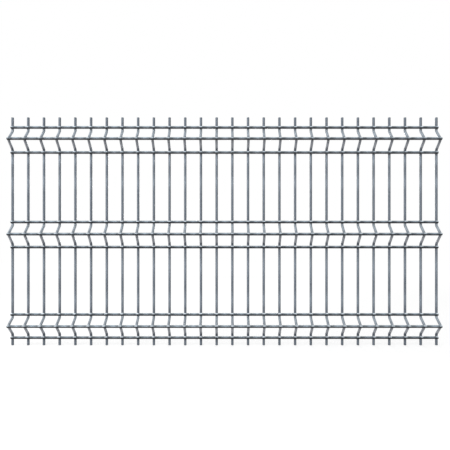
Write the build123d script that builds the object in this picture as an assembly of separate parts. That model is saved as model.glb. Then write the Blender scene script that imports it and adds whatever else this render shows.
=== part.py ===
from build123d import *
import os
from math import asin, atan2, hypot, tan

# Welded mesh fence panel: upright wires folded into three V pleats, and straight rails welded across
# their front above, on and below every pleat. The pleats point to -Y, the outer side, and the panel
# stands on its lower wire tips, with the origin under the middle of its box.

# Wires
upright_diameter = 12.0
rail_diameter = 13.0
bend_inner_radius = 7.0
tip_chamfer = 1.0
rail_end_chamfer = 0.8
weld_set_down = 1.2  # depth that a rail is pressed into an upright at each weld

# Grid across the panel
upright_count = 28
upright_pitch = 75.0
rail_overhang = 3.0  # past the axis of the last upright

# Pleats: depth from the plain stretch to the rounded crest, and heights from the crest to the sharp
# corners below and above it
pleat_depth = 37.7
bottom_lower_leg = 43.0
bottom_upper_leg = 36.0
middle_lower_leg = 44.0
middle_upper_leg = 44.0
top_lower_leg = 40.5
top_upper_leg = 47.5
rail_to_corner = 15.5  # from a rail's axis to the sharp corner of its pleat

# Plain stretches of the uprights, from rail axis to rail axis, and the free tips past the outer rails
lower_tip = 38.0
lower_bay = 320.5
upper_bay = 330.5
upper_tip = 50.5

# Names of the pleats from the ground up, each with the plain stretch under it and its two legs
pleats = (
    ("bottom", lower_tip, bottom_lower_leg, bottom_upper_leg),
    ("middle", lower_bay, middle_lower_leg, middle_upper_leg),
    ("top", upper_bay, top_lower_leg, top_upper_leg),
)

upright_radius = upright_diameter / 2
rail_radius = rail_diameter / 2
bend_radius = bend_inner_radius + upright_radius
rail_stand_off = upright_radius + rail_radius - weld_set_down
grid_width = (upright_count - 1) * upright_pitch
rail_length = grid_width + 2 * rail_overhang

# The box runs from the front of the crest rails to the back of the uprights, with Y = 0 midway
front_reach = pleat_depth + rail_stand_off + rail_radius
plain_y = (front_reach - upright_radius) / 2
plain_rail_y = plain_y - rail_stand_off
crest_rail_y = plain_rail_y - pleat_depth


def leg_slope(leg):
    """Depth per height of a leg that starts at the plain stretch and meets the bend of the crest."""
    bend_centre = pleat_depth - bend_radius
    return tan(atan2(bend_centre, leg) + asin(bend_radius / hypot(bend_centre, leg)))


def lay_out():
    """The upright's sharp corners from tip to tip, and each rail's name and place in Y and Z."""
    corners = [(0, plain_y, 0)]
    rails = []
    height = 0
    for pleat, stretch_below, lower_leg, upper_leg in pleats:
        low_rail = height + stretch_below
        low_corner = low_rail + rail_to_corner
        crest = low_corner + lower_leg
        high_corner = crest + upper_leg
        high_rail = high_corner + rail_to_corner
        lower_slope = leg_slope(lower_leg)
        upper_slope = leg_slope(upper_leg)
        sharp_depth = (high_corner - low_corner) / (1 / lower_slope + 1 / upper_slope)
        sharp_crest = low_corner + sharp_depth / lower_slope
        corners.append((0, plain_y, low_corner))
        corners.append((0, plain_y - sharp_depth, sharp_crest))
        corners.append((0, plain_y, high_corner))
        rails.append((f"{pleat}_pleat_lower_rail", plain_rail_y, low_rail))
        rails.append((f"{pleat}_pleat_crest_rail", crest_rail_y, crest))
        rails.append((f"{pleat}_pleat_upper_rail", plain_rail_y, high_rail))
        height = high_rail
    corners.append((0, plain_y, height + upper_tip))
    return corners, rails


def make_rail(y, z):
    """A straight round wire along X with its cut ends chamfered."""
    wire = Cylinder(rail_radius, rail_length, rotation=(0, 90, 0))
    wire = chamfer(wire.edges().filter_by(GeomType.CIRCLE), rail_end_chamfer)
    return Pos(0, y, z) * wire


def bend_upright(corners):
    """A round wire bent along the corners, with its tips chamfered."""
    path = FilletPolyline(*corners, radius=bend_radius)
    section = Plane(path @ 0, z_dir=path % 0) * Circle(upright_radius)
    wire = sweep(section, path)
    ends = wire.faces().filter_by(GeomType.PLANE)
    return chamfer(ends.edges(), tip_chamfer)


corners, rail_places = lay_out()
rails = {name: make_rail(y, z) for name, y, z in rail_places}
bent_wire = bend_upright(corners)

os.makedirs("parts", exist_ok=True)
for name, rail in rails.items():
    export_step(rail, f"parts/{name}.step")
# Each upright takes its weld seats from the rails where it stands
for number in range(upright_count):
    x = number * upright_pitch - grid_width / 2
    seated_wire = Pos(x, 0, 0) * bent_wire - list(rails.values())
    export_step(seated_wire, f"parts/upright_{number + 1:02d}.step")
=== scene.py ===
from functools import reduce
from math import pi

import bpy
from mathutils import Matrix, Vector


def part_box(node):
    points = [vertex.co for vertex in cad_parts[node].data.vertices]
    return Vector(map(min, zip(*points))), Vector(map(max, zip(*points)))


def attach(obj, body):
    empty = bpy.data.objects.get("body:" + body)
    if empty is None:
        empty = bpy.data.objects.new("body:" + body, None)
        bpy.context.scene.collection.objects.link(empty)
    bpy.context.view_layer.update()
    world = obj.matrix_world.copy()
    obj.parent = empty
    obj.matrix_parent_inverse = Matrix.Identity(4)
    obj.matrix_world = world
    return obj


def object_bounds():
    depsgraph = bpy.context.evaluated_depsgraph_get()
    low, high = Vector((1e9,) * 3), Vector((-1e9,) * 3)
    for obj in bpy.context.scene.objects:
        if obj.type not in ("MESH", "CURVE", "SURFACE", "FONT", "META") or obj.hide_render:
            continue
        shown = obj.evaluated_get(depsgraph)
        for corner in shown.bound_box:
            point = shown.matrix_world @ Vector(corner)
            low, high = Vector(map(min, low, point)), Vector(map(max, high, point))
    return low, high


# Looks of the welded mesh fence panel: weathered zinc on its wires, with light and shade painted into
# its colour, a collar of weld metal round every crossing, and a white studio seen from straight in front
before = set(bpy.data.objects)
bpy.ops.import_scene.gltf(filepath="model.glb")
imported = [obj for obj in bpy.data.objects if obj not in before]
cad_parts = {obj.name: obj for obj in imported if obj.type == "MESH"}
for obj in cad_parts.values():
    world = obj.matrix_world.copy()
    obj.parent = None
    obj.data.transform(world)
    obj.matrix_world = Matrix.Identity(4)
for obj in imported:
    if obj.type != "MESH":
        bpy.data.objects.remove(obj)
cad_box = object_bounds()

# What the CAD parts give: the wires by kind, where they stand and how thick they are, in metres
uprights = sorted(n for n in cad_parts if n.startswith("upright_"))
rails = sorted(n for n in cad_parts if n.endswith("_rail"))


def middle(node):
    """The middle of a CAD node's box."""
    low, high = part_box(node)
    return (low + high) / 2


def half_size(node):
    """Half the size of a CAD node's box."""
    low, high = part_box(node)
    return (high - low) / 2


upright_x = [middle(n).x for n in uprights]
upright_pitch = upright_x[1] - upright_x[0]
upright_radius = half_size(uprights[0]).x
upright_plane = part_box(uprights[0])[1].y - upright_radius
rail_places = sorted((middle(n).z, middle(n).y) for n in rails)
rail_radius = half_size(rails[0]).z
rail_half_length = half_size(rails[0]).x
panel_top = cad_box[1][2]
plain_rail_y = max(y for z, y in rail_places)
crest_rail_y = min(y for z, y in rail_places)
weld_stand_off = upright_plane - plain_rail_y

# Camera: level and straight on, lower than the middle of the picture
CAMERA_DISTANCE = 2.091  # from the uprights' plane
CAMERA_X = 0.0024
CAMERA_HEIGHT = 0.4166
CAMERA_SHIFT_UP = 0.0733  # of the picture's width
LENS_MM = 35.0
SENSOR_MM = 36.0

# Lamps: size and place in metres, power in watts
SOFTBOX_SIZE = (7.0, 5.0)
SOFTBOX_PLACE = (-2.2, -4.2, 3.5)
SOFTBOX_POWER = 225.0
FILL_SIZE = (3.0, 3.0)
FILL_PLACE = (-4.0, -3.6, 1.4)
FILL_POWER = 50.0
BACK_SIZE = (4.0, 2.0)
BACK_PLACE = (0.5, 9.0, 2.2)
BACK_POWER = 45.0
BACK_SPREAD = 1.0  # radians, so that the floor below stays dim

# Room and floor: the floor's glow tops its lit paint up to white
ROOM_LIGHT = 0.45  # of the white that the camera sees
FLOOR_HALF = 40.0
FLOOR_PAINT = 0.45
FLOOR_GLOW_NEAR = 0.67
FLOOR_GLOW_FAR = 0.8
FLOOR_GLOW_REACH = (3.0, 9.5)  # where the near glow ends and the far glow begins
FLOOR_GLOW_STRETCH = (1.6, 1.0, 1.0)  # the lamps' light falls off sooner sideways

# Zinc colours, high and low on the panel where they differ
ZINC_DULL = (0.164, 0.188, 0.22, 1)
ZINC_PALE = (0.231, 0.265, 0.306, 1)
ZINC_BLOOM = (0.42, 0.44, 0.46, 1)
# Painted light on the legs' upper sides, painted shade on their undersides, less dark near the ground
LEG_PAINTED_LIGHT = (0.41, 0.462, 0.513, 1)
LEG_UNDER_HIGH = (0.358, 0.367, 0.395, 1)
LEG_UNDER_LOW = (0.428, 0.437, 0.465, 1)
# Painted shade on the uprights next to the rails
UPRIGHT_PAINTED_SHADE = (0.097, 0.104, 0.119, 1)
# Painted light on the rails' tops and painted shade on their undersides
RAIL_PAINTED_LIGHT = (0.377, 0.454, 0.521, 1)
RAIL_PAINTED_SHADE_HIGH = (0.125, 0.132, 0.147, 1)
RAIL_PAINTED_SHADE_LOW = (0.071, 0.077, 0.088, 1)
# Painted highlight on the rails' tops at the welds, brighter near the ground
GLINT_HIGH = (0.57, 0.65, 0.72, 1)
GLINT_LOW = (0.72, 0.80, 0.87, 1)
CUT_STEEL = (0.16, 0.15, 0.145, 1)

# Zinc surface
METALLIC = {"upright_zinc": 0.45, "rail_zinc": 0.2}
ROUGHNESS = 0.36
SPECULAR = 0.2
EDGE_TINT = (0.3, 0.3, 0.3, 1)

# Noises: scale per metre, then detail
DRIFT_NOISE = (12.0, 3.0)
DRAWN_NOISE = (1.0, 2.0)  # on coordinates that DRAWN_ACROSS and DRAWN_ALONG stretch
BLOOM_NOISE = (45.0, 4.0)
PEEL_NOISE = (1300.0, 2.0)
RAGGED_NOISE = (170.0, 3.0)
TINT_NOISE = (90.0, 3.0)
SPLASH_NOISE = (380.0, 3.0)
PIT_NOISE = (1600.0, 3.0)
NOISE_MEAN = 0.5

# Grain of the zinc: how fine it is, and how much it changes colour, roughness, metal and relief
SPANGLE_SCALE = 450.0
DRAWN_ACROSS = 900.0
DRAWN_ALONG = 14.0
DRIFT_DEPTH = 0.4
SPANGLE_DEPTH = 0.22
DRAWN_DEPTH = 0.12
BLOOM_SPREAD = (0.52, 0.72)  # of its noise
BLOOM_FACING = (-0.2, 0.8)  # Z of the surface's normal
BLOOM_DEPTH = 0.2
BLOOM_DULLS = 0.7
DRIFT_ROUGHENS = 0.12
SPANGLE_ROUGHENS = 0.16
BLOOM_ROUGHENS = 0.16
PEEL_RELIEF = 0.5
DRAWN_RELIEF = 0.35
SPANGLE_RELIEF = 0.15
RELIEF_STRENGTH = 0.3
RELIEF_HEIGHT = 0.0003
CUT_DEPTH = 0.8
CUT_EDGE = 0.0008

# Painted light and shade, and pale bands, on the wires: places in metres, sides of a wire as Z of the
# surface's normal
NEAR_GROUND = (1.0, 0.1)  # heights where the ground begins to tell and where it tells fully
RAGGED_REACH = 0.012  # how far the edges of marks wander
RAGGED_SHADE_EDGE = 0.4  # the same round a rail
PALE_BANDS = ((0.217, 0.055), (0.374, 0.08), (0.776, 0.05), (0.881, 0.036))  # height and half width
# Where the legs take painted light and painted shade
LEG_REACH = (0.006, 0.016)  # forward of the uprights' plane
LEG_UNDERSIDE = (0.0, -0.4)
LEG_UPPERSIDE = (0.02, 0.3)
LEG_TOP = (0.008, 0.03)  # painted light just below an upper rail: how far above and below its axis
LEG_TOP_DEPTH = 0.7
# How far painted shade reaches on an upright above and below each kind of rail, and how dark it is
SHADE_BESIDE_RAILS = {"lower": (0.03, 0.008, 0.5), "crest": (0.028, 0.022, 0.45), "upper": (0.045, 0.008, 0.28)}
SHADE_EDGE = (-0.2, 0.3)
SHADE_CLIMB = 0.3  # how much further up a low plain rail the painted shade reaches
CREST_SHADE_CLIMB = 0.2  # of a plain rail's climb of painted shade

# Painted shade and a painted glint at each weld on a rail, in metres from the upright's axis
WELD_SHADE_DEPTH = 0.54  # how much darker the painted shade makes a rail at a weld than midway between two
WELD_SHADE_CORE = 0.008
WELD_SHADE_DRIFT = 0.0045  # the painted shadow lies to the right of each weld
GLINT_REACH = (0.009, 0.004)
GLINT_DRIFT = -0.001
GLINT_SIDE = (-0.1, 0.3)  # Z of the surface's normal
CREST_GLINT = 0.7  # of a plain rail's

# Weld collars: the bead of metal squeezed out round every weld, in metres
COLLAR_RADIUS = 0.0057
BEAD_RADIUS = 0.0020
COLLAR_SIDES = 12
BEAD_SIDES = 5
COLLAR_SPREAD = (0.93, 1.07)  # least and greatest size
END_COLLAR_WIDTH = 0.55  # where the rails end just past the outer uprights
BEAD_LUMPS = 0.0007
LUMP_SCALE = 320.0
LUMP_DETAIL = 1.0
WELD_SEED = 7

# Weld metal: colours, then where straw tints and splashes show and what they change
WELD_GREY = (0.36, 0.38, 0.40, 1)
WELD_STRAW = (0.40, 0.40, 0.39, 1)
WELD_PALE = (0.55, 0.58, 0.61, 1)
WELD_METALLIC = 0.1
WELD_ROUGHNESS = 0.4
TINT_SPREAD = (0.42, 0.62)
SPLASH_SPREAD = (0.5, 0.68)
SPLASH_DEPTH = 0.8
SPLASH_ROUGHENS = 0.3
PIT_STRENGTH = 0.5
PIT_HEIGHT = 0.0004


class Socket:
    """A node's output that arithmetic works on; every operation adds one Math node."""

    def __init__(self, graph, output):
        self.graph = graph
        self.output = output

    def math(self, operation, *values):
        inputs = dict(enumerate((self, *values)))
        return self.graph.node("ShaderNodeMath", {"operation": operation}, inputs)

    def __add__(self, other):
        return self.math("ADD", other)

    __radd__ = __add__

    def __sub__(self, other):
        return self.math("SUBTRACT", other)

    def __rsub__(self, other):
        return (self * -1.0) + other

    def __mul__(self, other):
        return self.math("MULTIPLY", other)

    __rmul__ = __mul__

    def __truediv__(self, other):
        return self.math("DIVIDE", other)

    def __abs__(self):
        return self.math("ABSOLUTE")

    def rise(self, low, high):
        """0 on the low side, 1 on the high side, and a smooth rise between; low may be the greater."""
        limits = {"Value": self, "From Min": low, "From Max": high}
        return self.graph.node("ShaderNodeMapRange", {"interpolation_type": "SMOOTHSTEP"}, limits)


class Graph:
    """A node tree under construction: node() adds a node and gives back one of its outputs."""

    def __init__(self, tree):
        self.tree = tree
        tree.nodes.clear()

    def node(self, kind, settings=None, inputs=None, output=0):
        made = self.tree.nodes.new(kind)
        for name, value in (settings or {}).items():
            setattr(made, name, value)
        for name, value in (inputs or {}).items():
            if isinstance(value, Socket):
                self.tree.links.new(value.output, made.inputs[name])
            else:
                made.inputs[name].default_value = value
        return Socket(self, made.outputs[output]) if made.outputs else made

    def axes(self, vector):
        """The X, Y and Z of a vector."""
        return [self.node("ShaderNodeSeparateXYZ", None, {0: vector}, axis) for axis in "XYZ"]

    def stretched(self, vector, scale):
        """A vector times another, axis by axis."""
        return self.node("ShaderNodeVectorMath", {"operation": "MULTIPLY"}, {0: vector, 1: scale})

    def noise(self, vector, scale, detail):
        values = {"Vector": vector, "Scale": scale, "Detail": detail}
        return self.node("ShaderNodeTexNoise", None, values)

    def mix(self, share, first, second):
        """The first colour where the share is 0, and the second where it is 1."""
        return self.node("ShaderNodeMix", {"data_type": "RGBA"}, {0: share, 6: first, 7: second}, 2)

    def shaded(self, colour, factor):
        """A colour times a number."""
        how = {"data_type": "RGBA", "blend_type": "MULTIPLY"}
        return self.node("ShaderNodeMix", how, {0: 1.0, 6: colour, 7: factor}, 2)


def shader_graph(owner):
    """The emptied node tree of a material or a world."""
    owner.use_nodes = True
    return Graph(owner.node_tree)


def grey(value):
    return (value, value, value, 1.0)


def greatest(values):
    """The greatest of several values at each point."""
    return reduce(lambda one, other: one.math("MAXIMUM", other), values)


def seen_directly(graph):
    """1 for camera, glossy and transmission rays, which see the white studio, and 0 for diffuse light."""
    kinds = ("Is Camera Ray", "Is Glossy Ray", "Is Transmission Ray")
    camera, glossy, transmission = (graph.node("ShaderNodeLightPath", output=k) for k in kinds)
    return (camera + glossy + transmission).math("MINIMUM", 1.0)


def make_world():
    """White where it is seen, and a dim even room where it only lights the panel."""
    world = bpy.data.worlds.new("studio")
    bpy.context.scene.world = world
    graph = shader_graph(world)
    strength = seen_directly(graph) * (1.0 - ROOM_LIGHT) + ROOM_LIGHT
    light = graph.node("ShaderNodeBackground", None, {"Color": grey(1.0), "Strength": strength})
    graph.node("ShaderNodeOutputWorld", None, {"Surface": light})


def floor_paint():
    """Pale paint that keeps shadows, with a glow that makes it white where it is seen."""
    material = bpy.data.materials.new("studio_floor")
    graph = shader_graph(material)
    place = graph.node("ShaderNodeTexCoord", output="Object")
    away = graph.node("ShaderNodeVectorMath", {"operation": "LENGTH"},
                      {0: graph.stretched(place, FLOOR_GLOW_STRETCH)}, "Value")
    far = away.rise(*FLOOR_GLOW_REACH)
    level = graph.mix(far, grey(FLOOR_GLOW_NEAR), grey(FLOOR_GLOW_FAR))
    glow = graph.node("ShaderNodeEmission", None, {"Color": level, "Strength": seen_directly(graph)})
    paint = graph.node("ShaderNodeBsdfDiffuse", None, {"Color": grey(FLOOR_PAINT)})
    both = graph.node("ShaderNodeAddShader", None, {0: paint, 1: glow})
    graph.node("ShaderNodeOutputMaterial", None, {"Surface": both})
    return material


def make_floor():
    """A plain floor that fades into the white room."""
    mesh = bpy.data.meshes.new("floor")
    h = FLOOR_HALF
    mesh.from_pydata([(-h, -h, 0), (h, -h, 0), (h, h, 0), (-h, h, 0)], [], [(0, 1, 2, 3)])
    mesh.materials.append(floor_paint())
    floor = bpy.data.objects.new("floor", mesh)
    bpy.context.scene.collection.objects.link(floor)


def area_light(name, size, place, power, spread=pi):
    """A rectangular lamp aimed at the middle of the panel."""
    lamp = bpy.data.lights.new(name, "AREA")
    lamp.shape = "RECTANGLE"
    lamp.size, lamp.size_y = size
    lamp.energy = power
    lamp.spread = spread
    holder = bpy.data.objects.new(name, lamp)
    holder.location = place
    aim = Vector((0, upright_plane, panel_top / 2)) - Vector(place)
    holder.rotation_euler = aim.to_track_quat("-Z", "Y").to_euler()
    bpy.context.scene.collection.objects.link(holder)


def make_camera():
    lens = bpy.data.cameras.new("camera")
    lens.lens = LENS_MM
    lens.sensor_width = SENSOR_MM
    lens.shift_y = CAMERA_SHIFT_UP
    camera = bpy.data.objects.new("camera", lens)
    camera.location = (CAMERA_X, upright_plane - CAMERA_DISTANCE, CAMERA_HEIGHT)
    camera.rotation_euler = (pi / 2, 0, 0)
    bpy.context.scene.collection.objects.link(camera)
    bpy.context.scene.camera = camera


def wire_grain(graph, place, along):
    """Marks that every zinc-coated wire has: tone drift, spangle and drawn lines, each from 0 to 1."""
    drift = graph.noise(place, *DRIFT_NOISE)
    cell = {"Vector": place, "Scale": SPANGLE_SCALE}
    cell_colour = graph.node("ShaderNodeTexVoronoi", None, cell, "Color")
    spangle = graph.node("ShaderNodeSeparateColor", None, {0: cell_colour}, 0)
    stretch = [DRAWN_ACROSS] * 3
    stretch["xyz".index(along)] = DRAWN_ALONG
    drawn = graph.noise(graph.stretched(place, stretch), *DRAWN_NOISE)
    return drift, spangle, drawn


def zinc(name, along, tone_of, end_of):
    """Galvanised wire that runs along an axis. tone_of gives its colour, with painted light and shade, and
    end_of its cut ends.
    """
    material = bpy.data.materials.new(name)
    graph = shader_graph(material)
    place = graph.node("ShaderNodeTexCoord", output="Object")
    axes = graph.axes(place)
    facing = graph.axes(graph.node("ShaderNodeTexCoord", output="Normal"))
    drift, spangle, drawn = wire_grain(graph, place, along)
    bloom = graph.noise(place, *BLOOM_NOISE).rise(*BLOOM_SPREAD) * facing[2].rise(*BLOOM_FACING)
    ragged = graph.noise(place, *RAGGED_NOISE) - NOISE_MEAN
    grain = (drift - NOISE_MEAN) * DRIFT_DEPTH
    grain = grain + (spangle - NOISE_MEAN) * SPANGLE_DEPTH + (drawn - NOISE_MEAN) * DRAWN_DEPTH
    colour = graph.shaded(tone_of(graph, axes, facing, ragged), grain + 1.0)
    colour = graph.mix(bloom * BLOOM_DEPTH, colour, ZINC_BLOOM)
    colour = graph.mix(end_of(axes) * CUT_DEPTH, colour, CUT_STEEL)
    roughness = spangle * SPANGLE_ROUGHENS + drift * DRIFT_ROUGHENS + bloom * BLOOM_ROUGHENS + ROUGHNESS
    metallic = (1.0 - bloom * BLOOM_DULLS) * (spangle + NOISE_MEAN) * METALLIC[name]
    peel = graph.noise(place, *PEEL_NOISE)
    height = peel * PEEL_RELIEF + drawn * DRAWN_RELIEF + spangle * SPANGLE_RELIEF
    relief = {"Strength": RELIEF_STRENGTH, "Distance": RELIEF_HEIGHT, "Height": height}
    values = {
        "Base Color": colour,
        "Metallic": metallic,
        "Roughness": roughness,
        "Normal": graph.node("ShaderNodeBump", None, relief),
        "Specular IOR Level": SPECULAR,
        "Specular Tint": EDGE_TINT,
    }
    surface = graph.node("ShaderNodeBsdfPrincipled", None, values)
    graph.node("ShaderNodeOutputMaterial", None, {"Surface": surface})
    return material


def beside_rails(height, kind, above, below):
    """1 at the rails of one kind, falling to 0 at these distances above and below their axes."""
    offsets = [height - middle(n).z for n in rails if n.endswith(f"{kind}_rail")]
    return greatest(o.rise(above, rail_radius) * o.rise(-below, -rail_radius) for o in offsets)


def upright_tone(graph, place, facing, ragged):
    """Dull with paler bands on the plain stretches, painted light and shade on the legs and beside the
    rails.
    """
    bands = greatest(abs(place[2] - height).rise(half, 0.0) for height, half in PALE_BANDS)
    plain = graph.mix(bands, ZINC_DULL, ZINC_PALE)
    # Painted light and shade on the legs: lighter where they face up, stand forward or sit just under an
    # upper rail, darker where they face down, less so near the ground
    under = graph.mix(place[2].rise(*NEAR_GROUND), LEG_UNDER_HIGH, LEG_UNDER_LOW)
    leg = graph.mix(facing[2].rise(*LEG_UNDERSIDE), LEG_PAINTED_LIGHT, under)
    ragged_height = place[2] + ragged * RAGGED_REACH
    forward = (upright_plane - place[1]).rise(*LEG_REACH)
    leg_top = beside_rails(ragged_height, "upper", *LEG_TOP) * LEG_TOP_DEPTH
    on_leg = greatest((forward, facing[2].rise(*LEG_UPPERSIDE), leg_top))
    # Painted shade on the uprights where they meet the rails
    painted_shade = greatest(beside_rails(ragged_height, kind, above, below) * depth
                     for kind, (above, below, depth) in SHADE_BESIDE_RAILS.items())
    return graph.mix(painted_shade, graph.mix(on_leg, plain, leg), UPRIGHT_PAINTED_SHADE)


def upright_ends(place):
    """1 on the cut faces of the tips."""
    from_middle = abs(place[2] - panel_top / 2)
    return from_middle.rise(panel_top / 2 - CUT_EDGE, panel_top / 2 - CUT_EDGE / 2)


def from_uprights(x):
    """The distance along X to the nearest upright's axis."""
    bay = ((x - upright_x[0]) / upright_pitch).math("FRACT")
    return (0.5 - abs(bay - 0.5)) * upright_pitch


def rail_tone(graph, place, facing, ragged):
    """Painted light on top, painted shade underneath and more so near the ground, painted shade and glint
    at welds.
    """
    low = place[2].rise(*NEAR_GROUND)
    recessed = place[1].rise(crest_rail_y, plain_rail_y)
    shade_climb_share = recessed * (1.0 - CREST_SHADE_CLIMB) + CREST_SHADE_CLIMB
    upward = facing[2] - low * shade_climb_share * SHADE_CLIMB + ragged * RAGGED_SHADE_EDGE
    # Painted shade under the rail and painted light on its top
    painted_shade = graph.mix(low, RAIL_PAINTED_SHADE_HIGH, RAIL_PAINTED_SHADE_LOW)
    colour = graph.mix(upward.rise(*SHADE_EDGE), painted_shade, RAIL_PAINTED_LIGHT)
    # Painted shade on a rail near each upright, with a painted shadow falling to the right
    to_weld_shade = from_uprights(place[0] - WELD_SHADE_DRIFT)
    colour = graph.shaded(colour, 1.0 - to_weld_shade.rise(upright_pitch / 2, WELD_SHADE_CORE) * WELD_SHADE_DEPTH)
    # A painted highlight on the rail's top at each weld
    to_glint = from_uprights(place[0] - GLINT_DRIFT) + ragged * RAGGED_REACH
    glint = to_glint.rise(*GLINT_REACH) * upward.rise(*GLINT_SIDE)
    glint = glint * (recessed * (1.0 - CREST_GLINT) + CREST_GLINT)
    return graph.mix(glint, colour, graph.mix(low, GLINT_HIGH, GLINT_LOW))


def rail_ends(place):
    """1 on the cut faces of the ends."""
    return abs(place[0]).rise(rail_half_length - CUT_EDGE, rail_half_length - CUT_EDGE / 2)


def weld_metal():
    """Squeezed-out weld metal under its zinc: grey, with straw tints, pale splashes and fine pits."""
    material = bpy.data.materials.new("weld_metal")
    graph = shader_graph(material)
    place = graph.node("ShaderNodeTexCoord", output="Object")
    tint = graph.noise(place, *TINT_NOISE)
    splash = graph.noise(place, *SPLASH_NOISE)
    colour = graph.mix(tint.rise(*TINT_SPREAD), WELD_GREY, WELD_STRAW)
    colour = graph.mix(splash.rise(*SPLASH_SPREAD) * SPLASH_DEPTH, colour, WELD_PALE)
    pits = graph.noise(place, *PIT_NOISE)
    relief = {"Strength": PIT_STRENGTH, "Distance": PIT_HEIGHT, "Height": pits}
    values = {
        "Base Color": colour,
        "Metallic": WELD_METALLIC,
        "Roughness": splash * SPLASH_ROUGHENS + WELD_ROUGHNESS,
        "Normal": graph.node("ShaderNodeBump", None, relief),
    }
    surface = graph.node("ShaderNodeBsdfPrincipled", None, values)
    graph.node("ShaderNodeOutputMaterial", None, {"Surface": surface})
    return material


def collar_tree(values, material):
    """Nodes that put a lumpy saddle-shaped bead on every crossing point; values names their inputs."""
    tree = bpy.data.node_groups.new("weld_collars", "GeometryNodeTree")
    tree.interface.new_socket("Crossings", in_out="INPUT", socket_type="NodeSocketGeometry")
    for name, value in values.items():
        kind = "NodeSocketInt" if isinstance(value, int) else "NodeSocketFloat"
        tree.interface.new_socket(name, in_out="INPUT", socket_type=kind)
    tree.interface.new_socket("Collars", in_out="OUTPUT", socket_type="NodeSocketGeometry")
    graph = Graph(tree)

    def given(name):
        return graph.node("NodeGroupInput", output=name)

    def ring(sides, radius):
        size = {"Resolution": given(sides), "Radius": given(radius)}
        return graph.node("GeometryNodeCurvePrimitiveCircle", {"mode": "RADIUS"}, size)

    path = ring("Collar sides", "Collar radius")
    section = ring("Bead sides", "Bead radius")
    bead = graph.node("GeometryNodeCurveToMesh", None, {"Curve": path, "Profile Curve": section})
    # The flat ring is bent back at its sides and forward above and below, and turned to face -Y
    x, y, z = graph.axes(graph.node("GeometryNodeInputPosition"))
    swing = (x * x - y * y) / (x * x + y * y)
    depth = given("Middle depth") + given("Saddle") * swing - z
    warped = graph.node("ShaderNodeCombineXYZ", None, {"X": x, "Y": depth, "Z": y})
    saddle = graph.node("GeometryNodeSetPosition", None, {"Geometry": bead, "Position": warped})
    spread = {2: given("Least size"), 3: given("Greatest size"), "Seed": given("Seed")}
    size = graph.node("FunctionNodeRandomValue", {"data_type": "FLOAT"}, spread, 1)
    width = size * graph.node("GeometryNodeInputNamedAttribute", None, {"Name": "collar_width"})
    scale = graph.node("ShaderNodeCombineXYZ", None, {"X": width, "Y": size, "Z": size})
    placed = {"Points": given("Crossings"), "Instance": saddle, "Scale": scale}
    collars = graph.node("GeometryNodeInstanceOnPoints", None, placed)
    collars = graph.node("GeometryNodeRealizeInstances", None, {"Geometry": collars})
    lumps = graph.noise(graph.node("GeometryNodeInputPosition"), given("Lump scale"), LUMP_DETAIL)
    swell = {0: graph.node("GeometryNodeInputNormal"), "Scale": (lumps - NOISE_MEAN) * given("Lumps")}
    offset = graph.node("ShaderNodeVectorMath", {"operation": "SCALE"}, swell)
    collars = graph.node("GeometryNodeSetPosition", None, {"Geometry": collars, "Offset": offset})
    collars = graph.node("GeometryNodeSetShadeSmooth", None, {0: collars})
    collars = graph.node("GeometryNodeSetMaterial", None, {"Geometry": collars, "Material": material})
    graph.node("NodeGroupOutput", None, {"Collars": collars})
    return tree


def crossing_points():
    """A mesh with one point on the upright's axis at every weld, and how wide its collar may be."""
    crossings = [(x, y + weld_stand_off, z) for z, y in rail_places for x in upright_x]
    points = bpy.data.meshes.new("weld_crossings")
    points.from_pydata(crossings, [], [])
    outer = (upright_x[0], upright_x[-1])
    widths = [END_COLLAR_WIDTH if x in outer else 1.0 for x, y, z in crossings]
    points.attributes.new("collar_width", "FLOAT", "POINT").data.foreach_set("value", widths)
    return points


def make_weld_collars(material):
    """One mesh of all the weld collars, seated in the notch between each upright and rail."""
    side = -((upright_radius**2 - COLLAR_RADIUS**2) ** 0.5 + weld_stand_off - rail_radius) / 2
    above = -(upright_radius + weld_stand_off - (rail_radius**2 - COLLAR_RADIUS**2) ** 0.5) / 2
    values = {
        "Collar radius": COLLAR_RADIUS,
        "Bead radius": BEAD_RADIUS,
        "Collar sides": COLLAR_SIDES,
        "Bead sides": BEAD_SIDES,
        "Middle depth": (side + above) / 2,
        "Saddle": (side - above) / 2,
        "Least size": COLLAR_SPREAD[0],
        "Greatest size": COLLAR_SPREAD[1],
        "Lumps": BEAD_LUMPS,
        "Lump scale": LUMP_SCALE,
        "Seed": WELD_SEED,
    }
    collars = bpy.data.objects.new("weld_collars", crossing_points())
    bpy.context.scene.collection.objects.link(collars)
    tree = collar_tree(values, material)
    modifier = collars.modifiers.new("weld_collars", "NODES")
    modifier.node_group = tree
    for socket in tree.interface.items_tree:
        if socket.name in values:
            modifier[socket.identifier] = values[socket.name]
    evaluated = collars.evaluated_get(bpy.context.evaluated_depsgraph_get())
    mesh = bpy.data.meshes.new_from_object(evaluated)
    collars.modifiers.clear()
    collars.data = mesh
    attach(collars, "root")


def coat(nodes, finish):
    """Give CAD nodes a finish in place of their plain one."""
    for node in nodes:
        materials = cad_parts[node].data.materials
        materials.clear()
        materials.append(finish)


make_world()
make_floor()
make_camera()
area_light("softbox", SOFTBOX_SIZE, SOFTBOX_PLACE, SOFTBOX_POWER)
area_light("fill", FILL_SIZE, FILL_PLACE, FILL_POWER)
area_light("back", BACK_SIZE, BACK_PLACE, BACK_POWER, BACK_SPREAD)

coat(uprights, zinc("upright_zinc", "z", upright_tone, upright_ends))
coat(rails, zinc("rail_zinc", "x", rail_tone, rail_ends))
make_weld_collars(weld_metal())

bpy.context.scene.view_settings.view_transform = "Standard"
